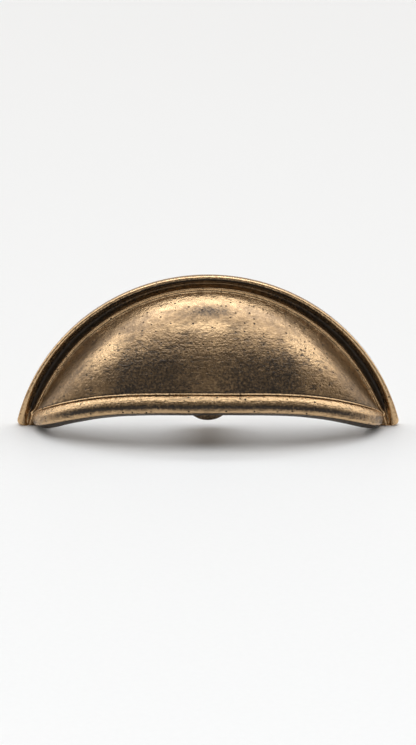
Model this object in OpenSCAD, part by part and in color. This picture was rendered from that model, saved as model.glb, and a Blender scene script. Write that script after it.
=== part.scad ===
// Cup pull: a cast handle in one piece, screwed on from behind a drawer front.
// A flange with a beaded rim carries a flared hood, which ends in a rolled lip.
// Frame: X runs along the pull, Y points into the drawer front and Z points up.
// The origin is the mouth of the screw hole, on the mounting face Y = 0.
// All sizes are in millimetres, all angles in degrees.

/* [Overall] */
// Width across the tips of the flange, before their corners are rounded
pull_w = 100; // [86:1:130]
// Height from the tips to the crown of the flange
pull_h = 39.5; // [35:0.5:48]
// Depth from the mounting face to the front of the lip
pull_d = 24; // [20:0.5:32]

/* [Flange] */
// Width of the flange at the sides, from its edge to the ridge
side_w = 4.2; // [3.6:0.1:5.4]
// Width of the flange at the crown
crown_w = 3.3; // [2.8:0.1:4.2]
// Width of the flange at the very tips
tip_w = 3.3; // [3.2:0.1:4.2]
// Height of the rim bead over the mounting face
rim_h = 2.6; // [2:0.1:3.6]
// Radius of the rim bead
rim_r = 0.6; // [0.5:0.1:1]
// Depth of the channel between the bead and the ridge
channel_d = 1.2; // [0.4:0.1:1.4]
// Radius of the outer corner of each tip
tip_r = 1.8; // [0.6:0.1:3]

/* [Hood] */
// Thickness of the hood's wall
wall = 2.4; // [1.8:0.1:3]
// Angle between the hood and the flange at the crown
crown_angle = 68; // [50:1:75]
// Angle between the hood and the flange at the sides
side_angle = 38; // [25:1:50]
// Backward lean of the front face above the lip
front_lean = 8; // [3:1:15]
// Inward lean of the hood above the ends of the lip
side_lean = 40; // [20:1:50]

/* [Lip] */
// Radius of the rolled lip
lip_r = 2.7; // [2.5:0.1:3.2]
// Radius of the lip at its ends
lip_end_r = 2.2; // [1.9:0.1:2.4]
// Rise of the lip from its ends to its middle
lip_rise = 7.8; // [4:0.1:11]
// Squareness of the lip seen from above, where 2 gives an ellipse
lip_square = 2.4; // [2:0.1:3]

/* [Screw boss] */
// Diameter of the boss
boss_d = 13; // [9:0.5:14]
// Height of the screw axis over the tips
screw_z = 12; // [11:0.5:16]
// Diameter of the hole that is tapped for the screw
hole_d = 3.3; // [2.5:0.1:5]
// Depth of that hole
hole_depth = 12; // [8:0.5:15]

/* [Smoothness] */
// Lofted sections between the middle and the corner of a tip
stations = 26; // [16:1:36]
// Steps over the hood, from the ridge to the lip
hood_steps = 11; // [8:1:16]
// Steps over the front of the lip, and again over its back
lip_steps = 5; // [4:1:9]

/* [Hidden] */
// The rim is the circle through both tips and the crown.
rim_radius = (pull_w * pull_w / 4 + pull_h * pull_h) / (2 * pull_h);
rim_z = pull_h - rim_radius;
tip_angle = acos(-rim_z / rim_radius);

// The ridge is as high as the bead, and a shallow quirk parts it from the hood.
ridge_h = rim_h;
ridge_r = 0.3;
quirk_w = 0.7;
quirk_d = 0.3;
hood_h = ridge_h - quirk_d / 2;

// At the tips the bead widens to this half width, and the channel is shallow.
tip_rim_r = 0.36 * tip_w;
tip_channel_d = channel_d / 4;

// How late the lip droops, tapers and turns down to the tips, and how late its upper edge
// runs into the ridge
droop_power = 3.5;
taper_power = 6;
turn_power = 40;
merge_power = 10;

// Angles round the lip, from the level direction out of it: where the front of the wall
// meets it, the edges of its flat underside, and where the inside of the wall meets it.
// Both sides of the wall meet it lower at the tips.
front_at = 78;
front_at_tip = -40;
flat_front = -35;
flat_front_tip = -60;
flat_back = -95;
inside_at = acos(cos(front_at) - wall / lip_r) - 360;
inside_at_tip = -180;
flat_mid = (flat_front + flat_back) / 2;
flat_half = (flat_front - flat_back) / 2;

// Centre line of the lip: its reach at the middle, and its ends, a small gap from the ridge
lip_gap = 4 * ridge_r;
lip_reach = pull_d - lip_r;
lip_x = pull_w / 2 - tip_w - lip_gap - lip_end_r;
lip_end_reach = 0.5 * lip_end_r;
lip_low = 1.12 * lip_end_r;

// Inset of the mounting face's inner edge at the tips
tip_inset = rim_radius - norm([lip_x - lip_end_r, rim_z]);

// A fine line along the top of the lip carries the ridge on, within these shares of quirk_w.
line_low = 0.35;
line_top = 0.7;

// Handles of the hood's curve as shares of its chord, and how fast its angles change
handle_flange = 0.26;
handle_lip = 0.44;
shoulder_power = 1.5;
lean_power = 2;

// Steps round the bead, across the channel, over the ridge and at a tip's corner
bead_steps = 5;
bead_end = 25;
channel_steps = 4;
ridge_steps = 2;
corner_steps = 4;

// The boss runs into the hood's wall and has a rounded front edge. The hole ends in the
// cone that a drill leaves.
drill_angle = 118;
drill_h = hole_d / 2 / tan(drill_angle / 2);
cut_over = 1;
boss_embed = 0.6;
boss_edge = 2;
boss_len = pull_d - lip_r - wall + boss_embed;

bronze = [0.45, 0.33, 0.18];
$fa = 6;
$fs = 0.4;

// Places are [across, out from the mounting face, over the tips], and the station t
// runs from -1 at one tip to 1 at the other.

function flange_point(inset, height, t) =
    let (r = rim_radius - inset, a = t * acos(-rim_z / r))
    [r * sin(a), height, rim_z + r * cos(a)];

function mix(a, b, share) = a + (b - a) * share;

// 1 at the crown and nearly 0 at the sides, and 1 at the tips and nearly 0 away from them
function crown_share(t) = pow(cos(t * tip_angle), 4);
function tip_share(t) = pow(abs(t), merge_power);

function flange_w(t) = mix(mix(side_w, crown_w, crown_share(t)), tip_w, tip_share(t));

// Rounds a tip's outer corner by drawing the edge in near the end of the arc.
function corner_inset(t) =
    let (left = (1 - abs(t)) * tip_angle * PI / 180 * rim_radius)
    left < tip_r ? tip_r - sqrt(tip_r * tip_r - pow(tip_r - left, 2)) : 0;

// Angle between the hood and the flange
function rise(t) = mix(side_angle, crown_angle, pow(cos(t * tip_angle), shoulder_power));

// Insets of the hood's feet: outside on the quirk, and inside on the mounting face, where
// the wall's thickness is measured square to its slope
function outside_inset(t) = flange_w(t) + mix(quirk_w, 2 * ridge_r, tip_share(t));
function inside_inset(t) = outside_inset(t) + (wall - hood_h * cos(rise(t))) / sin(rise(t));

function unit(v) = v / norm(v);

// The lip's centre line: a squared ellipse from above, which rises to the middle
// and turns down to the tips
function lip_point(t) =
    let (
        e = 2 / lip_square,
        across = pow(abs(sin(90 * t)), e),
        reach = pow(cos(90 * t), e),
        droop = pow(across, droop_power),
        turn = sqrt(1 - pow(abs(t), turn_power))
    )
    [
        lip_x * sign(t) * across,
        lip_end_reach + (lip_reach - lip_end_reach) * reach,
        (lip_low + lip_rise * (1 - droop)) * turn
    ];

// Level direction out of the lip, square to the squared ellipse
function lip_outward(t) =
    let (
        e = 2 - 2 / lip_square,
        x = sign(t) * pow(abs(sin(90 * t)), e) / lip_x,
        y = pow(cos(90 * t), e) / (lip_reach - lip_end_reach)
    )
    unit([x, y, 0]);

function lip_tangent(t) =
    let (d = 0.002, a = max(-1, t - d), b = min(1, t + d))
    abs(t) == 1 ? [0, 0, -sign(t)] : unit(lip_point(b) - lip_point(a));

// A place round the lip, which is a circle with a flat underside
function lip_round(t, angle) =
    let (
        outward = lip_outward(t),
        up = unit(cross(lip_tangent(t), outward)),
        off_flat = abs(angle - flat_mid),
        round_r = mix(lip_r, lip_end_r, pow(abs(t), taper_power)),
        r = round_r * (off_flat < flat_half ? cos(flat_half) / cos(off_flat) : 1),
        p = lip_point(t) + r * (outward * cos(angle) + up * sin(angle))
    )
    [p.x, max(0, p.y), max(0, p.z)];

function spread(a, b, steps) = [for (i = [0 : steps - 1]) a + (b - a) * i / steps];

// Round the lip from the front of the wall to its inside
function lip_arc(t) =
    let (
        start = mix(front_at, front_at_tip, tip_share(t)),
        edge = mix(flat_front, flat_front_tip, tip_share(t)),
        end = mix(inside_at, inside_at_tip, tip_share(t))
    )
    [for (angle = concat(
        spread(start, edge, lip_steps),
        spread(edge, flat_back, 2),
        spread(flat_back, end, lip_steps),
        [end]
    )) lip_round(t, angle)];

function bezier(a, b, c, d, s) =
    a * pow(1 - s, 3) + b * 3 * s * pow(1 - s, 2) + c * 3 * s * s * (1 - s) + d * pow(s, 3);

// One line over the hood, from the flange to the lip, without its last point
function hood_line(foot, end, t) =
    let (
        a = t * tip_angle,
        inward = cos(rise(t)),
        off_flange = [-inward * sin(a), sin(rise(t)), -inward * cos(a)],
        lean = mix(front_lean, side_lean, pow(abs(t), lean_power)),
        off_lip = [0, 0, cos(lean)] - lip_outward(t) * sin(lean),
        chord = end - foot,
        first = mix(off_flange * norm(chord), chord, tip_share(t)),
        last = mix(off_lip * norm(chord), -chord, tip_share(t))
    )
    [for (i = [0 : hood_steps - 1])
        bezier(foot, foot + first * handle_flange, end + last * handle_lip, end, i / hood_steps)];

// The flange's profile as [inset, height]: edge, bead, channel, ridge and quirk
function flange_profile(t) =
    let (
        w = flange_w(t),
        drawn = corner_inset(t),
        bead_r = mix(rim_r, tip_rim_r, tip_share(t)),
        bead_h = rim_h - rim_r,
        dip = mix(channel_d, tip_channel_d, tip_share(t)),
        from = [bead_r + bead_r * cos(bead_end), bead_h + rim_r * sin(bead_end)],
        to = [w - ridge_r, ridge_h - ridge_r],
        profile = concat(
            [[0, 0]],
            [for (i = [0 : bead_steps])
                let (a = 180 - (180 - bead_end) * i / bead_steps)
                [bead_r + bead_r * cos(a), bead_h + rim_r * sin(a)]],
            [for (i = [1 : channel_steps - 1])
                let (s = i / channel_steps)
                mix(from, to, s) - [0, dip * sin(180 * s)]],
            [for (i = [0 : ridge_steps])
                let (a = 180 - 180 * i / ridge_steps)
                [w + ridge_r * cos(a), ridge_h - ridge_r + ridge_r * sin(a)]],
            [[(w + ridge_r + outside_inset(t)) / 2, ridge_h - quirk_d]]
        )
    )
    [for (q = profile) [drawn + q[0] * (1 - drawn / outside_inset(t)), q[1]]];

// One closed section: mounting face, flange, hood, lip and inside
function section(t) =
    let (
        around = lip_arc(t),
        line = 1 - min(1, 2 * tip_share(t)),
        out = lip_outward(t) * quirk_d * line,
        up = [0, 0, quirk_w * line],
        front_foot = flange_point(outside_inset(t), hood_h, t),
        inset = mix(inside_inset(t), tip_inset, tip_share(t)),
        inside = hood_line(flange_point(inset, 0, t), around[len(around) - 1], t)
    )
    concat(
        [flange_point(outside_inset(t) + ridge_r / 2, 0, t)],
        [for (q = flange_profile(t)) flange_point(q[0], q[1], t)],
        hood_line(front_foot, around[0] + up, t),
        [around[0] + up * line_top + out, around[0] + up * line_low + out],
        around,
        [for (i = [1 : hood_steps]) inside[hood_steps - i]]
    );

// Skins a row of closed sections, with a fan over each end from the section's first point.
// The triangles of the second half mirror those of the first.
module loft(sections) {
    rows = len(sections);
    n = len(sections[0]);
    last = (rows - 1) * n;
    points = [for (s = sections) for (p = s) [p.x, -p.y, p.z - screw_z]];
    sides = [for (i = [0 : rows - 2]) for (j = [0 : n - 1])
        let (a = i * n + j, b = i * n + (j + 1) % n)
        each i < (rows - 1) / 2
            ? [[a, a + n, b], [a + n, b + n, b]]
            : [[a, b + n, b], [a, a + n, b + n]]];
    ends = [for (j = [1 : n - 2]) each [[0, j, j + 1], [last, last + j + 1, last + j]]];
    polyhedron(points, concat(sides, ends));
}

// Even stations up to the rounded corners of the tips, then closer ones
corner_at = 1 - tip_r / (tip_angle * PI / 180 * rim_radius);
half = concat(
    [for (i = [1 : stations]) corner_at * i / stations],
    [for (i = [1 : corner_steps]) corner_at + (1 - corner_at) * sin(90 * i / corner_steps)]
);
station_list = concat([for (i = [len(half) - 1 : -1 : 0]) -half[i]], [0], half);

module casting() {
    loft([for (t = station_list) section(t)]);
}

module boss() {
    rotate([90, 0, 0])
        rotate_extrude() {
            square([boss_d / 2, boss_len - boss_edge]);
            square([boss_d / 2 - boss_edge, boss_len]);
            translate([boss_d / 2 - boss_edge, boss_len - boss_edge])
                intersection() {
                    circle(boss_edge);
                    square(boss_edge);
                }
        }
}

module hole() {
    rotate([90, 0, 0])
        rotate_extrude()
            polygon([
                [0, -cut_over],
                [hole_d / 2, -cut_over],
                [hole_d / 2, hole_depth],
                [0, hole_depth + drill_h]
            ]);
}

module cup_pull() {
    color(bronze)
        difference() {
            union() {
                casting();
                boss();
            }
            hole();
        }
}

cup_pull();
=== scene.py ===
"""Looks of the cup pull: a fine mesh of the casting, its aged brass, a pale floor and soft light.

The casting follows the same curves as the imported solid, with more steps, a cast surface and a
real thread in its screw hole. Sizes of the casting are in millimetres until its mesh is made.
"""

import math

import bmesh
import bpy
import numpy as np
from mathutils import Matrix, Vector, noise


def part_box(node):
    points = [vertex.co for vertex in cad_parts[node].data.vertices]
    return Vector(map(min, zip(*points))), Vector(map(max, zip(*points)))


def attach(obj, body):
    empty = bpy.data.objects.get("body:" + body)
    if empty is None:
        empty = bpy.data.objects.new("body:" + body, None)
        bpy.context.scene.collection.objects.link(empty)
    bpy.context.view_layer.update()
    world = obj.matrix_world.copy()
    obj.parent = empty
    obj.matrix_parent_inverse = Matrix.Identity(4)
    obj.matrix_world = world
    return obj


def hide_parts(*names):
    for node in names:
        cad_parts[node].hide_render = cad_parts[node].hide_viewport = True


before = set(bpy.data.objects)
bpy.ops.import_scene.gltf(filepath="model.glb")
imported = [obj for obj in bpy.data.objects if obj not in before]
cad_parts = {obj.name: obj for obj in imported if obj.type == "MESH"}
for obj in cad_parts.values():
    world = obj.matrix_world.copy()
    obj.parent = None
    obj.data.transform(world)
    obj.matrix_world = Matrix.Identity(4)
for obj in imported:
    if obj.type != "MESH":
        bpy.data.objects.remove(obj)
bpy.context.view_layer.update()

MM = 0.001

# Sizes of the casting, with angles in degrees
PULL_W = 100.0
PULL_H = 39.5
PULL_D = 24.0
SIDE_W = 4.2
CROWN_W = 3.3
TIP_W = 3.3
RIM_H = 2.6
RIM_R = 0.6
CHANNEL_D = 1.2
TIP_R = 1.8
WALL = 2.4
CROWN_ANGLE = 68.0
SIDE_ANGLE = 38.0
FRONT_LEAN = 8.0
SIDE_LEAN = 40.0
LIP_R = 2.7
LIP_END_R = 2.2
LIP_RISE = 7.8
LIP_SQUARE = 2.4
BOSS_D = 13.0
SCREW_Z = 12.0
HOLE_D = 3.3
HOLE_DEPTH = 12.0

# The rim is the circle through both tips and the crown. Its half angle is in radians.
RIM_RADIUS = (PULL_W ** 2 / 4 + PULL_H ** 2) / (2 * PULL_H)
RIM_Z = PULL_H - RIM_RADIUS
TIP_ANGLE = math.acos(-RIM_Z / RIM_RADIUS)

# Where the bead's arc ends, and its half width and the channel's depth at the tips
BEAD_END = 25.0
TIP_RIM_R = 0.36 * TIP_W
TIP_CHANNEL_D = CHANNEL_D / 4

# The ridge, and the quirk that parts it from the hood. Away from the tips the hood's foot is
# higher than in the solid, which keeps the fold beside the ridge faint.
RIDGE_H = RIM_H
RIDGE_R = 0.3
RIDGE_END = 60.0
QUIRK_W = 0.7
QUIRK_D = 0.3
QUIRK_DIP = QUIRK_D / 3
FOOT_H = RIDGE_H + QUIRK_D / 2
HOOD_H = RIDGE_H - QUIRK_D / 2

# How late the lip droops, tapers and turns down to the tips, and how late its upper edge runs
# into the ridge
DROOP_POWER = 3.5
TAPER_POWER = 6
TURN_POWER = 40
MERGE_POWER = 10

# Angles round the lip, from the level direction out of it: where the front of the wall meets it,
# the edges of its flat underside, and where the inside of the wall meets it
FRONT_AT = 78.0
FRONT_AT_TIP = -40.0
FLAT_FRONT = -35.0
FLAT_FRONT_TIP = -60.0
FLAT_BACK = -95.0
FLAT_MID = (FLAT_FRONT + FLAT_BACK) / 2
FLAT_HALF = (FLAT_FRONT - FLAT_BACK) / 2
INSIDE_AT = math.degrees(math.acos(math.cos(math.radians(FRONT_AT)) - WALL / LIP_R)) - 360
INSIDE_AT_TIP = -180.0

# Centre line of the lip: its reach at the middle, and its ends, a small gap from the ridge
LIP_GAP = 4 * RIDGE_R
LIP_REACH = PULL_D - LIP_R
LIP_X = PULL_W / 2 - TIP_W - LIP_GAP - LIP_END_R
LIP_END_REACH = 0.5 * LIP_END_R
LIP_LOW = 1.12 * LIP_END_R
TANGENT_STEP = 0.002

# The fine line along the top of the lip: depth, place and width of the grooves beside it, as
# shares of the line
GROOVE_D = 0.3
GROOVE_AT = 0.12
GROOVE_W = 0.1

# Inset of the mounting face's inner edge at the tips
TIP_INSET = RIM_RADIUS - math.hypot(LIP_X - LIP_END_R, RIM_Z)

# Handles of the hood's curve as shares of its chord, and how fast its angles change
HANDLE_FLANGE = 0.26
HANDLE_LIP = 0.44
SHOULDER_POWER = 1.5
LEAN_POWER = 2

# The boss runs into the hood's wall, and both its ends have a soft edge.
BOSS_EMBED = 0.6
BOSS_EDGE = 2.0
BOSS_BREAK = 0.3
BOSS_LEN = PULL_D - LIP_R - WALL + BOSS_EMBED

# Thread of the screw hole, its countersunk mouth, and the cone that the drill left. Root and crest
# say where a flank starts and ends, as shares of the pitch from the middle of a groove.
PITCH = 0.7
THREAD_R = 2.0
THREAD_ROOT = 0.1
THREAD_CREST = 0.5
MOUTH_R = 2.3
DRILL_ANGLE = 118.0
CONE_TIP_R = 0.02

# Small knobs where the ridge meets the ends of the lip
KNOB_T = 0.945
KNOB_H = 0.7
KNOB_R = 0.75

# Sizes and heights of the cast surface's waves, dents and grain, and the share of the inside's
# line over which they fade to the mounting face
CAST_RELIEF = ((9, 0.07), (2.8, 0.035), (0.9, 0.012))
CAST_FADE = 1 / 6

# Fineness of the mesh
STATIONS = 140
CORNER_STEPS = 12
EDGE_STEPS = 3
BEAD_STEPS = 14
CHANNEL_STEPS = 14
RIDGE_STEPS = 8
QUIRK_STEPS = 4
HOOD_STEPS = 56
LINE_STEPS = 10
LIP_STEPS = 20
FLAT_STEPS = 6
INSIDE_STEPS = 30
SEAT_STEPS = 6
BOSS_SIDES = 72
BOSS_FACE_STEPS = 3
BOSS_SIDE_STEPS = 23
BOSS_EDGE_STEPS = 8
TURN_STEPS = 10

# Points this close are welded, and edges bent more than this angle stay sharp
WELD = 0.001
SHARP_ANGLE = 40.0

# Looks that each point of the mesh carries: rubbed gold, which is a painted highlight in places,
# dark soot, which is painted shade in places, the pitted front face, the ground mounting face, and
# how far the cast surface shows
LOOKS = ("gold", "soot", "front", "ground", "cast")

# Looks of the plain areas: painted shade on the lip's underside, on the boss and in the bore,
# which darkens with its depth, and soot on the lip's back and the inside
UNDER_SHADE = 0.6
LIP_BACK_SOOT = 0.5
INSIDE_SOOT = 0.55
BOSS_SHADE = 0.4
BORE_GOLD = 0.5
BORE_SHADE_PER_MM = 0.03

# Colours of the brass and of the floor
BROWN_DARK = (0.17, 0.106, 0.052, 1)
BROWN_LIGHT = (0.40, 0.25, 0.118, 1)
RUBBED_GOLD = (0.70, 0.465, 0.245, 1)
# Dark soot, which is also the colour of the painted shade
DARK_SOOT_AND_SHADE = (0.05, 0.035, 0.023, 1)
GROUND_DARK = (0.30, 0.21, 0.105, 1)
GROUND_LIGHT = (0.55, 0.41, 0.22, 1)
GROUND_SHARE = 0.85
PAPER_DARK = (0.835, 0.835, 0.83, 1)
PAPER_LIGHT = (0.865, 0.865, 0.86, 1)

# Half width of the floor, in metres
FLOOR_HALF = 6.0

# Studio light: strengths of the soft box's front, back and bright rear strip, of the windows and
# of the room in front and behind, and the windows' place and half angles
BOX_FRONT = 1.4
BOX_BACK = 2.2
BOX_STRIP = 5
WINDOW = 1.35
WINDOW_AT = (0.74, 0.24, 0.62)
WINDOW_EDGE = 36
WINDOW_INNER = 14
ROOM_FRONT = 0.09
ROOM_BACK = 0.42
BOX_COLOUR = (0.905, 0.95, 1, 1)
ROOM_COLOUR = (1, 0.87, 0.73, 1)

# Camera: lens and sensor in millimetres, distance and the height it looks at in metres, and its
# angle above level in degrees
LENS = 102.3
SENSOR_H = 36
VIEW_DISTANCE = 0.55
VIEW_Z = 0.0016
VIEW_ELEVATION = 13.5


def mix(a, b, share):
    return a + (b - a) * share


def unit(v):
    return v / np.linalg.norm(v)


def spread(a, b, steps):
    """Even values from a to just before b"""
    return np.linspace(a, b, steps, endpoint=False)


def hump(s):
    """0 at both ends of 0 to 1, and 1 in the middle"""
    return np.sin(np.pi * np.asarray(s))


def bell(x, width):
    """1 at 0, and less away from it"""
    return np.exp(-(np.asarray(x) / width) ** 2)


def fade(x, start, stop):
    """0 at start and before it, and 1 at stop and past it"""
    return np.clip((np.asarray(x) - start) / (stop - start), 0, 1)


# Places are [across, out from the mounting face, above the tips], and the station t runs from -1
# at one tip to 1 at the other. In the frame, out is -Y and heights count from the screw hole.
FRAME_SIGNS = np.array([1, -1, 1])
FRAME_ORIGIN = np.array([0, 0, SCREW_Z])


def to_frame(points):
    return points * FRAME_SIGNS - FRAME_ORIGIN


def from_frame(places):
    return (places + FRAME_ORIGIN) * FRAME_SIGNS


def crown_share(t):
    """1 at the crown and nearly 0 at the sides"""
    return math.cos(t * TIP_ANGLE) ** 4


def tip_share(t):
    """1 at the tips and nearly 0 away from them"""
    return abs(t) ** MERGE_POWER


def flange_point(inset, height, t):
    """Places on the flange at the station t, from insets and heights"""
    r = RIM_RADIUS - np.asarray(inset, dtype=float)
    a = t * np.arccos(-RIM_Z / r)
    return np.stack([r * np.sin(a), np.broadcast_to(height, r.shape), RIM_Z + r * np.cos(a)], axis=-1)


def flange_w(t):
    """Width of the flange, from its edge to the middle of the ridge"""
    return mix(mix(SIDE_W, CROWN_W, crown_share(t)), TIP_W, tip_share(t))


def corner_inset(t):
    """How far the edge is drawn in to round a tip's outer corner"""
    left = (1 - abs(t)) * TIP_ANGLE * RIM_RADIUS
    if left >= TIP_R:
        return 0.0
    return TIP_R - math.sqrt(TIP_R ** 2 - (TIP_R - left) ** 2)


def rise(t):
    """Angle between the hood and the flange, in radians"""
    return math.radians(mix(SIDE_ANGLE, CROWN_ANGLE, math.cos(t * TIP_ANGLE) ** SHOULDER_POWER))


def foot_h(t):
    """Height of the hood's foot on the flange"""
    return mix(FOOT_H, HOOD_H, tip_share(t))


def outside_inset(t):
    """Inset of the hood's foot"""
    return flange_w(t) + mix(QUIRK_W, 2 * RIDGE_R, tip_share(t))


def inside_inset(t):
    """Inset of the inside's foot, with the wall's thickness measured square to its slope"""
    inset = outside_inset(t) + (WALL - HOOD_H * math.cos(rise(t))) / math.sin(rise(t))
    return mix(inset, TIP_INSET, tip_share(t))


def lip_point(t):
    """The lip's centre line: a squared ellipse from above, which rises to the middle"""
    power = 2 / LIP_SQUARE
    across = abs(math.sin(math.pi / 2 * t)) ** power
    reach = max(0.0, math.cos(math.pi / 2 * t)) ** power
    turn = math.sqrt(1 - abs(t) ** TURN_POWER)
    return np.array([
        LIP_X * math.copysign(across, t),
        LIP_END_REACH + (LIP_REACH - LIP_END_REACH) * reach,
        (LIP_LOW + LIP_RISE * (1 - across ** DROOP_POWER)) * turn,
    ])


def lip_outward(t):
    """Level direction out of the lip, square to the squared ellipse"""
    power = 2 - 2 / LIP_SQUARE
    x = math.copysign(abs(math.sin(math.pi / 2 * t)) ** power, t) / LIP_X
    y = max(0.0, math.cos(math.pi / 2 * t)) ** power / (LIP_REACH - LIP_END_REACH)
    return unit(np.array([x, y, 0.0]))


def lip_tangent(t):
    """Direction along the lip, straight up at the left tip and straight down at the right one"""
    if abs(t) == 1:
        return np.array([0.0, 0.0, -t])
    return unit(lip_point(min(1, t + TANGENT_STEP)) - lip_point(max(-1, t - TANGENT_STEP)))


def lip_round(t, angles):
    """Places round the lip, a circle with a flat underside"""
    outward = lip_outward(t)
    up = unit(np.cross(lip_tangent(t), outward))
    off_flat = np.abs(angles - FLAT_MID)
    flat = np.cos(math.radians(FLAT_HALF)) / np.cos(np.radians(np.minimum(off_flat, FLAT_HALF)))
    r = mix(LIP_R, LIP_END_R, abs(t) ** TAPER_POWER) * flat
    a = np.radians(angles)[:, None]
    p = lip_point(t) + r[:, None] * (outward * np.cos(a) + up * np.sin(a))
    p[:, 1:] = np.maximum(0, p[:, 1:])
    return p


def hood_line(foot, end, t, s):
    """A line over the hood from the flange to the lip, at the shares s"""
    a = t * TIP_ANGLE
    inward = math.cos(rise(t))
    off_flange = np.array([-inward * math.sin(a), math.sin(rise(t)), -inward * math.cos(a)])
    lean = math.radians(mix(FRONT_LEAN, SIDE_LEAN, abs(t) ** LEAN_POWER))
    off_lip = np.array([0, 0, math.cos(lean)]) - lip_outward(t) * math.sin(lean)
    chord = end - foot
    length = np.linalg.norm(chord)
    b = foot + mix(off_flange * length, chord, tip_share(t)) * HANDLE_FLANGE
    c = end + mix(off_lip * length, -chord, tip_share(t)) * HANDLE_LIP
    s = s[:, None]
    return foot * (1 - s) ** 3 + b * 3 * s * (1 - s) ** 2 + c * 3 * s ** 2 * (1 - s) + end * s ** 3


class Skin:
    """Rows of points, with the looks of each point"""

    def __init__(self):
        self.points = []
        self.looks = []

    def add(self, points, gold=0.0, soot=0.0, front=0.0, ground=0.0, cast=1.0):
        looks = [np.broadcast_to(look, len(points)) for look in (gold, soot, front, ground, cast)]
        self.points.append(points)
        self.looks.append(np.stack(looks, axis=-1))

    def joined(self):
        return np.concatenate(self.points), np.concatenate(self.looks)


def add_flange(skin, t):
    """Edge, bead, channel, ridge and quirk"""
    w = flange_w(t)
    at_crown = crown_share(t)
    at_tip = tip_share(t)
    bead_r = mix(RIM_R, TIP_RIM_R, at_tip)
    bead_h = RIM_H - RIM_R
    ridge_h = RIDGE_H - RIDGE_R
    dip = mix(CHANNEL_D, TIP_CHANNEL_D, at_tip)
    drawn = corner_inset(t)
    draw = 1 - drawn / outside_inset(t)

    def place(inset, height):
        return flange_point(drawn + np.asarray(inset) * draw, height, t)

    # The edge, rubbed more towards the bead
    s = spread(0, 1, EDGE_STEPS)
    skin.add(place(0 * s, bead_h * s), gold=mix(0.6, 1, s), soot=mix(0.3, 0, s), cast=s)

    # The bead, rubbed on top and outside, and sooty inside at the crown
    a = np.radians(np.linspace(180, BEAD_END, BEAD_STEPS + 1))
    inset = bead_r + bead_r * np.cos(a)
    height = bead_h + RIM_R * np.sin(a)
    top = mix(1.5, 0.5, at_tip) * np.clip(np.sin(a), 0, 1) ** 1.5
    outer = 0.7 * np.clip(-np.cos(a), 0, 1) ** 2
    skin.add(place(inset, height), gold=top + outer, soot=at_crown * fade(np.cos(a), -0.2, 0.3))

    # The channel, sooty in the middle at the crown and nearer the ridge at the sides
    s = spread(0, 1, CHANNEL_STEPS)[1:]
    start = np.array([inset[-1], height[-1]])
    stop = np.array([w - RIDGE_R, ridge_h])
    line = mix(start, stop, s[:, None])
    dark = hump(s ** mix(1.7, 1, at_crown)) ** 0.5
    soot = mix(0.9, 0.25, at_crown) * dark * (1 - abs(t) ** 16)
    gold = 0.5 * at_tip + 0.7 * (1 - at_crown) * (1 - s) ** 2
    skin.add(place(line[:, 0], line[:, 1] - dip * hump(s)), gold=gold, soot=soot)

    # The ridge, rubbed along its top
    a = np.radians(np.linspace(180, mix(RIDGE_END, 0, at_tip), RIDGE_STEPS + 1))
    inset = w + RIDGE_R * np.cos(a)
    height = ridge_h + RIDGE_R * np.sin(a)
    skin.add(place(inset, height), gold=1.2 * np.sin(a))

    # The quirk, from the ridge to the hood's foot, with gold painted on as a highlight
    s = spread(0, 1, QUIRK_STEPS)[1:]
    inset = mix(inset[-1], outside_inset(t), s)
    height = mix(height[-1], foot_h(t), s)
    skin.add(place(inset, height - QUIRK_DIP * hump(s)), gold=0.3)


def patch(t, s, at, size):
    """1 at one place of the hood and less away from it, by stations and shares of the hood's line"""
    return bell(t - at[0], size[0]) * bell(s - at[1], size[1])


def hood_wear_and_painted_light(t, s):
    """Looks of the hood at the station t and the shares s of its line"""
    side = abs(t)

    # Rubbed places, which are also painted highlights where the soft box and the windows reflect
    shoulder = 0.35 * patch(t, s, at=(0, 0.1), size=(0.25, 0.12))
    brow = 0.5 * patch(t, s, at=(0, 0.48), size=(0.12, 0.07))
    flanks = 0.65 * patch(side, s, at=(0.41, 0.56), size=(0.1, 0.2))
    border = 0.25 * bell(s, 0.3) * (1 - t ** 2)

    # Dark places: a darker spot in the middle of the upper hood, painted dim reflection with patina
    # on the lower front, weaker at its very middle, and darker sides near the flange
    middle_dark_spot = 0.45 * patch(t, s, at=(0, 0.3), size=(0.1, 0.08))
    dim_reflection_and_patina = 0.48 * fade(side, 0.40, 0.28) * fade(s, 0.48, 0.78) * (1 - 0.4 * bell(t, 0.07))
    corner = 0.22 * fade(side, 0.48, 0.58) * fade(s, 0, 0.2)

    front = fade(s, 0.35, 0.65) * np.maximum(0.4, fade(side, 0.62, 0.37))
    return {"gold": shoulder + brow + flanks + border, "soot": middle_dark_spot + dim_reflection_and_patina + corner, "front": front}


def lip_wear_and_painted_highlight(t, angles, edge):
    """Looks of the lip's front: rubbed on top, where the gold is also a painted highlight, and along
    its lower edge, with a dark band between
    """
    # Gold on top, rubbed and a painted highlight
    top = 0.9 * fade(angles, 15, 40)
    lower = 1.2 * bell(angles - edge - 8, 6)
    off_band = angles - 2
    band = 0.65 * bell(off_band, np.where(off_band > 0, 22, 12)) * fade(abs(t), 0.75, 0.5)
    return {"gold": 0.2 + top + lower, "soot": band, "front": 0.5}


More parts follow.
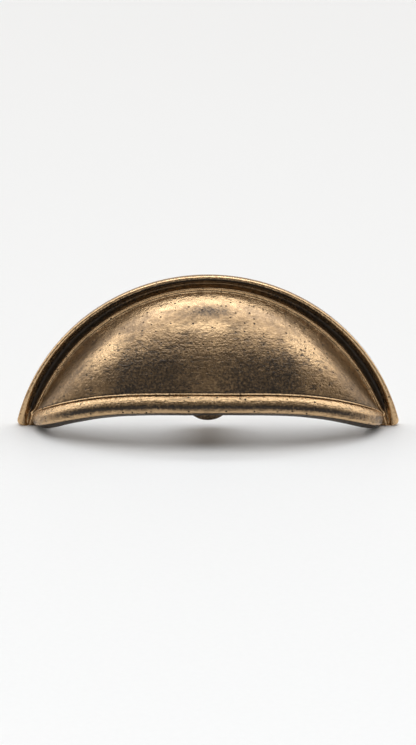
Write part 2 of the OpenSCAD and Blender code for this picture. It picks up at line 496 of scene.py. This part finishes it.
def section(t):
    """One closed section: flange, hood, fine line, lip, inside and mounting face"""
    skin = Skin()
    add_flange(skin, t)

    at_tip = tip_share(t)
    first = mix(FRONT_AT, FRONT_AT_TIP, at_tip)
    edge = mix(FLAT_FRONT, FLAT_FRONT_TIP, at_tip)
    last = mix(INSIDE_AT, INSIDE_AT_TIP, at_tip)
    top = lip_round(t, np.array([first]))[0]
    bottom = lip_round(t, np.array([last]))[0]

    # The hood, down to the fine line, which runs out towards the tips
    line = 1 - min(1, 2 * at_tip)
    up = np.array([0, 0, QUIRK_W * line])
    foot = flange_point(outside_inset(t), foot_h(t), t)
    s = spread(0, 1, HOOD_STEPS)
    skin.add(hood_line(foot, top + up, t, s), **hood_wear_and_painted_light(t, s))

    # The fine line, rubbed along its top, between two dark grooves
    s = np.linspace(0, 1, LINE_STEPS)
    crest = hump(s) ** 2
    grooves = bell(s - GROOVE_AT, GROOVE_W) + bell(s - 1 + GROOVE_AT, GROOVE_W)
    out = crest - GROOVE_D * grooves
    out[[0, -1]] = 0
    fine_line = top + np.outer(1 - s, up) + np.outer(QUIRK_D * line * out, lip_outward(t))
    skin.add(fine_line, gold=0.8 * crest, soot=0.5 * (1 - crest) * line, front=0.3)

    # The lip's front, its flat underside and its back
    angles = spread(first, edge, LIP_STEPS)
    skin.add(lip_round(t, angles), **lip_wear_and_painted_highlight(t, angles, edge))
    angles = spread(edge, FLAT_BACK, FLAT_STEPS)
    # Painted shade on the flat underside
    skin.add(lip_round(t, angles), gold=0.2 * bell(angles - edge, 6), soot=UNDER_SHADE)
    angles = spread(FLAT_BACK, last, LIP_STEPS)
    skin.add(lip_round(t, angles), soot=LIP_BACK_SOOT)

    # The inside, and the mounting face from its heel out to the edge
    heel = flange_point(inside_inset(t), 0.0, t)
    s = np.linspace(1, 0, INSIDE_STEPS)
    skin.add(hood_line(heel, bottom, t, s), soot=INSIDE_SOOT, cast=fade(s, 0, CAST_FADE))
    rim = flange_point(corner_inset(t), 0.0, t)
    s = spread(0, 1, SEAT_STEPS)[1:, None]
    skin.add(mix(heel, rim, s), ground=1.0, cast=0.0)
    return skin.joined()


def stations():
    """Even stations, and closer ones round the corners of the tips"""
    corner = 1 - TIP_R / (TIP_ANGLE * RIM_RADIUS)
    even = corner * np.arange(1, STATIONS + 1) / STATIONS
    close = corner + (1 - corner) * np.sin(np.pi / 2 * np.arange(1, CORNER_STEPS + 1) / CORNER_STEPS)
    half = np.concatenate([even, close])
    half[-1] = 1.0
    return np.concatenate([-half[::-1], [0.0], half])


def closed_faces(rows, columns):
    """Faces between rows of points that close round, with a face over the first and the last row"""
    faces = [tuple(reversed(range(columns))), tuple(range((rows - 1) * columns, rows * columns))]
    for i in range(rows - 1):
        for j in range(columns):
            a = i * columns + j
            b = i * columns + (j + 1) % columns
            faces.append((a, b, b + columns, a + columns))
    return faces


def bore_rings():
    """Radii and depths of the threaded hole, from the drill's cone to the countersunk mouth"""
    turn = np.arange(BOSS_SIDES) / BOSS_SIDES
    hole_r = HOLE_D / 2
    cone = hole_r / math.tan(math.radians(DRILL_ANGLE / 2))
    rings = [(CONE_TIP_R, HOLE_DEPTH + cone), (hole_r, HOLE_DEPTH + PITCH / TURN_STEPS)]
    for depth in np.linspace(HOLE_DEPTH, 0, round(HOLE_DEPTH / PITCH * TURN_STEPS) + 1):
        phase = (depth / PITCH - turn) % 1
        cut = fade(np.abs(phase - 0.5), THREAD_CREST, THREAD_ROOT)
        rings.append((np.maximum(mix(hole_r, THREAD_R, cut), MOUTH_R - depth), depth))
    return rings


def boss_rings():
    """Radii and distances out of the boss, from just outside the mouth to its rounded front"""
    side = BOSS_D / 2
    core = BOSS_LEN - BOSS_EDGE
    back = [(r, 0.0) for r in np.linspace(MOUTH_R, side - BOSS_BREAK, BOSS_FACE_STEPS + 1)[1:]]
    length = [(side, y) for y in np.linspace(BOSS_BREAK, core, BOSS_SIDE_STEPS + 1)]
    turn = np.radians(np.linspace(0, 90, BOSS_EDGE_STEPS + 1)[1:])
    front = [(side - BOSS_EDGE + BOSS_EDGE * np.cos(a), core + BOSS_EDGE * np.sin(a)) for a in turn]
    return back + length + front


def boss_ring(r, y):
    """A ring of points round the screw's axis"""
    turn = 2 * np.pi * np.arange(BOSS_SIDES) / BOSS_SIDES
    return np.stack([r * np.cos(turn), np.full(BOSS_SIDES, y), SCREW_Z + r * np.sin(turn)], axis=-1)


def boss_shell():
    """Points, looks and faces of the boss with its hole"""
    skin = Skin()
    for r, depth in bore_rings():
        # The bore gets darker with its depth, as painted shade
        skin.add(boss_ring(r, depth), gold=BORE_GOLD, soot=BORE_SHADE_PER_MM * depth, cast=0.0)
    for r, y in boss_rings():
        if y == 0:
            skin.add(boss_ring(r, y), ground=1.0, cast=0.0)
        else:
            # Painted shade on the boss
            skin.add(boss_ring(r, y), soot=BOSS_SHADE, cast=min(1, y - BOSS_BREAK))
    return *skin.joined(), closed_faces(len(skin.points), BOSS_SIDES)


def cast_relief(place):
    """How far the cast surface stands off its plain form, in millimetres"""
    return sum(height * noise.noise(Vector(place / size)) for size, height in CAST_RELIEF)


def knob_share(points):
    """How much of a knob each point has, from 0 to 1"""
    share = np.zeros(len(points))
    for t in (-KNOB_T, KNOB_T):
        middle = flange_point(flange_w(t) - KNOB_R / 2, RIDGE_H, t)
        share += bell(np.linalg.norm(points - middle, axis=1), KNOB_R)
    return share


def make_shell(name, points, looks, faces):
    """A closed shell, with its looks stored on its points"""
    mesh = bpy.data.meshes.new(name)
    mesh.from_pydata((to_frame(points) * MM).tolist(), [], faces)
    for look, values in zip(LOOKS, looks.T):
        mesh.attributes.new(look, "FLOAT", "POINT").data.foreach_set("value", values)
    weld = bmesh.new()
    weld.from_mesh(mesh)
    bmesh.ops.remove_doubles(weld, verts=weld.verts, dist=WELD * MM)
    weld.to_mesh(mesh)
    weld.free()
    shell = bpy.data.objects.new(name, mesh)
    bpy.context.collection.objects.link(shell)
    return shell


def join(shell, other):
    """Makes the two shells one"""
    union = shell.modifiers.new("union", "BOOLEAN")
    union.operation = "UNION"
    union.solver = "MANIFOLD"
    union.object = other
    whole = shell.evaluated_get(bpy.context.evaluated_depsgraph_get())
    mesh = bpy.data.meshes.new_from_object(whole)
    mesh.materials.clear()
    shell.modifiers.clear()
    shell.data = mesh
    bpy.data.objects.remove(other)


def read(data, name, size):
    """Values of a mesh as rows of the given size"""
    rows = np.empty(len(data) * size)
    data.foreach_get(name, rows)
    return rows.reshape(len(data), size)


def make_casting():
    """The whole pull as one mesh, with its cast surface"""
    sections = [section(t) for t in stations()]
    points = np.concatenate([p for p, look in sections])
    looks = np.concatenate([look for p, look in sections])
    piece = make_shell("casting", points, looks, closed_faces(len(sections), len(sections[0][0])))
    join(piece, make_shell("boss", *boss_shell()))

    mesh = piece.data
    places = read(mesh.attributes["position"].data, "vector", 3) / MM
    normals = read(mesh.vertex_normals, "vector", 3)
    looks = {look: read(mesh.attributes[look].data, "value", 1)[:, 0] for look in LOOKS}
    knobs = knob_share(from_frame(places))
    looks["gold"] += knobs
    looks["soot"] *= 1 - knobs
    relief = (np.array([cast_relief(p) for p in places]) + KNOB_H * knobs) * looks["cast"]
    places = places + normals * relief[:, None]
    places[:, 1] = np.minimum(0, places[:, 1])
    mesh.vertices.foreach_set("co", (places * MM).ravel())
    for look, values in looks.items():
        mesh.attributes[look].data.foreach_set("value", values)
    mesh.shade_smooth()
    mesh.set_sharp_from_angle(angle=math.radians(SHARP_ANGLE))
    mesh.update()
    return piece


class Nodes:
    """Adds nodes to a tree, with each input given as a value or as another node's socket"""

    def __init__(self, tree):
        self.tree = tree
        tree.nodes.clear()

    def add(self, kind, inputs=None, **settings):
        node = self.tree.nodes.new(kind)
        for name, value in settings.items():
            setattr(node, name, value)
        for name, value in (inputs or {}).items():
            socket = node.inputs[name]
            if isinstance(value, bpy.types.NodeSocket):
                self.tree.links.new(value, socket)
            else:
                socket.default_value = value
        return node

    def math(self, operation, a, b):
        return self.add("ShaderNodeMath", {0: a, 1: b}, operation=operation).outputs[0]

    def total(self, *parts):
        """The sum of values, each times its weight"""
        result = 0.0
        for value, weight in parts:
            inputs = {0: value, 1: weight, 2: result}
            result = self.add("ShaderNodeMath", inputs, operation="MULTIPLY_ADD").outputs[0]
        return result

    def ramp(self, value, low, high, start=0.0, stop=1.0):
        """Start where the value is low, stop where it is high, and a smooth change between"""
        inputs = {"Value": value, "From Min": low, "From Max": high, "To Min": start, "To Max": stop}
        return self.add("ShaderNodeMapRange", inputs, interpolation_type="SMOOTHSTEP").outputs[0]

    def blend(self, share, a, b):
        node = self.add("ShaderNodeMix", {0: share, 6: a, 7: b}, data_type="RGBA")
        return node.outputs[2]

    def look(self, name):
        return self.add("ShaderNodeAttribute", attribute_name=name).outputs["Fac"]

    def noise(self, where, scale, detail, roughness=0.5):
        inputs = {"Vector": where, "Scale": scale, "Detail": detail, "Roughness": roughness}
        return self.add("ShaderNodeTexNoise", inputs).outputs[0]

    def stretched(self, where, scale):
        return self.add("ShaderNodeMapping", {"Vector": where, "Scale": scale}).outputs[0]


def aged_brass():
    """Cast brass under a brown patina, rubbed to gold where it is touched and dark where it isn't,
    with painted highlights and painted shade that its gold and soot looks carry
    """
    material = bpy.data.materials.new("aged_brass")
    material.use_nodes = True
    n = Nodes(material.node_tree)
    where = n.add("ShaderNodeTexCoord").outputs["Object"]
    front = n.look("front")

    # Uneven patches, from the largest to the finest
    cloud = n.noise(where, 45, 3)
    blotch = n.noise(where, 130, 6, 0.65)
    mottle = n.noise(where, 620, 3, 0.6)
    grain = n.noise(where, 1700, 3, 0.6)

    # Small round pits, in about a quarter of the cells
    cells = n.add("ShaderNodeTexVoronoi", {"Vector": where, "Scale": 850})
    chance = n.add("ShaderNodeSeparateColor", {"Color": cells.outputs["Color"]}).outputs[0]
    pit = n.math("MULTIPLY", n.ramp(cells.outputs["Distance"], 0.26, 0.12), n.ramp(chance, 0.74, 0.8))

    # Short level strokes on the front face
    streak = n.noise(n.stretched(where, (0.22, 0.6, 1)), 1500, 3, 0.6)
    stroke = n.math("MULTIPLY", n.ramp(streak, 0.54, 0.64), front)

    # Gold, with the painted highlights that the gold look carries on the hood, the quirk and the
    # lip's top
    gold = n.ramp(n.total((n.look("gold"), 1), (blotch, 0.7), (mottle, 0.6)), 0.65, 1.3)
    # Soot, with the painted shade and dim reflection that the soot look carries in places
    soot = n.ramp(n.total((n.look("soot"), 1), (blotch, 0.5), (grain, 0.9)), 0.8, 1.35)
    soot = n.math("MAXIMUM", soot, n.math("MULTIPLY", pit, 0.95))
    soot = n.math("MAXIMUM", soot, n.math("MULTIPLY", stroke, 0.8))

    # Brown patina, under the gold and the soot, which carry painted highlights and painted shade as
    # well
    tone = n.total((blotch, 0.4), (cloud, 0.3), (mottle, 0.3))
    brown = n.add("ShaderNodeValToRGB", {"Fac": tone})
    dark, light = brown.color_ramp.elements
    dark.position = 0.40
    dark.color = BROWN_DARK
    light.position = 0.62
    light.color = BROWN_LIGHT
    colour = n.blend(gold, brown.outputs[0], RUBBED_GOLD)
    colour = n.blend(soot, colour, DARK_SOOT_AND_SHADE)

    # The ground mounting face, with the lines that the grinding left
    lines = n.noise(n.stretched(where, (0.02, 1, 1)), 2600, 2)
    brushed = n.blend(lines, GROUND_DARK, GROUND_LIGHT)
    colour = n.blend(n.math("MULTIPLY", n.look("ground"), GROUND_SHARE), colour, brushed)

    rough = n.total((n.ramp(soot, 0, 1, 0.24, 0.65), 1), (grain, 0.12), (gold, -0.07))
    rough_grain = n.math("MULTIPLY", grain, n.ramp(front, 0, 1, 0.35, 1.2))
    scored = n.math("MULTIPLY", streak, front)
    height = n.total((rough_grain, 1), (pit, -1.8), (scored, -1), (blotch, 0.5), (mottle, 0.6))
    bump = n.add("ShaderNodeBump", {"Height": height, "Strength": 1.0, "Distance": 0.00025})

    surface = n.add("ShaderNodeBsdfPrincipled", {
        "Base Color": colour,
        "Roughness": rough,
        "Metallic": 0.92,
        "Normal": bump.outputs[0],
        "Coat Weight": 0.45,
        "Coat Roughness": 0.25,
        "Coat Normal": bump.outputs[0],
    })
    n.add("ShaderNodeOutputMaterial", {"Surface": surface.outputs[0]})
    return material


def pale_paper():
    """Smooth pale paper with faint fibres"""
    material = bpy.data.materials.new("pale_paper")
    material.use_nodes = True
    n = Nodes(material.node_tree)
    where = n.add("ShaderNodeTexCoord").outputs["Object"]
    surface = n.add("ShaderNodeBsdfPrincipled", {
        "Base Color": n.blend(n.noise(where, 900, 3), PAPER_DARK, PAPER_LIGHT),
        "Roughness": 0.42,
        "Specular IOR Level": 0.3,
    })
    n.add("ShaderNodeOutputMaterial", {"Surface": surface.outputs[0]})
    return material


def make_floor():
    """A wide pale sheet at the height of the tips"""
    mesh = bpy.data.meshes.new("floor")
    half = FLOOR_HALF
    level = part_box("cup_pull")[0][2]
    corners = [(-half, -half, level), (half, -half, level), (half, half, level), (-half, half, level)]
    mesh.from_pydata(corners, [], [(0, 1, 2, 3)])
    mesh.materials.append(pale_paper())
    floor = bpy.data.objects.new("floor", mesh)
    bpy.context.collection.objects.link(floor)


def make_world():
    """A studio with a soft box overhead, a soft window at each side and a dim warm room"""
    world = bpy.data.worlds.new("studio")
    bpy.context.scene.world = world
    world.use_nodes = True
    n = Nodes(world.node_tree)
    where = n.add("ShaderNodeTexCoord").outputs["Generated"]
    toward = n.add("ShaderNodeSeparateXYZ", {"Vector": where})
    across = n.math("ABSOLUTE", toward.outputs["X"], 0)
    back = toward.outputs["Y"]
    height = toward.outputs["Z"]

    # The soft box, brighter behind the pull and most along its rear edge
    light = n.ramp(back, -0.04, 0.12, BOX_FRONT, BOX_BACK)
    light = n.math("ADD", light, n.ramp(back, 0.54, 0.57, 0, BOX_STRIP))

    # Where it ends: in front, behind, at the sides and below
    ends = (
        n.ramp(back, -0.55, -0.25),
        n.ramp(back, 0.66, 0.63),
        n.ramp(across, 0.50, 0.34),
        n.ramp(height, 0.3, 0.5),
    )
    for end in ends:
        light = n.math("MULTIPLY", light, end)

    # The windows, which fade from their inner part to their edge
    edge = math.cos(math.radians(WINDOW_EDGE))
    inner = math.cos(math.radians(WINDOW_INNER))
    for side in (-1, 1):
        window = Vector((WINDOW_AT[0] * side, *WINDOW_AT[1:])).normalized()
        product = n.add("ShaderNodeVectorMath", {0: where, 1: window}, operation="DOT_PRODUCT")
        light = n.math("ADD", light, n.ramp(product.outputs["Value"], edge, inner, 0, WINDOW))
    boxes = n.add("ShaderNodeBackground", {"Color": BOX_COLOUR, "Strength": light})

    dim = n.ramp(back, -0.5, 0.3, ROOM_FRONT, ROOM_BACK)
    room = n.add("ShaderNodeBackground", {"Color": ROOM_COLOUR, "Strength": dim})
    both = n.add("ShaderNodeAddShader", {0: boxes.outputs[0], 1: room.outputs[0]})
    n.add("ShaderNodeOutputWorld", {"Surface": both.outputs[0]})


def make_camera():
    """The photograph's view: straight from the front and a little from above"""
    camera = bpy.data.cameras.new("camera")
    camera.sensor_fit = "VERTICAL"
    camera.sensor_height = SENSOR_H
    camera.lens = LENS
    view = bpy.data.objects.new("camera", camera)
    elevation = math.radians(VIEW_ELEVATION)
    away = Vector((0, -math.cos(elevation), math.sin(elevation)))
    view.location = Vector((0, 0, VIEW_Z)) + VIEW_DISTANCE * away
    view.rotation_euler = away.to_track_quat("Z", "Y").to_euler()
    bpy.context.collection.objects.link(view)
    bpy.context.scene.camera = view


casting = make_casting()
casting.data.materials.append(aged_brass())
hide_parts("cup_pull")
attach(casting, "root")

make_floor()
make_world()
make_camera()
bpy.context.scene.view_settings.view_transform = "Standard"
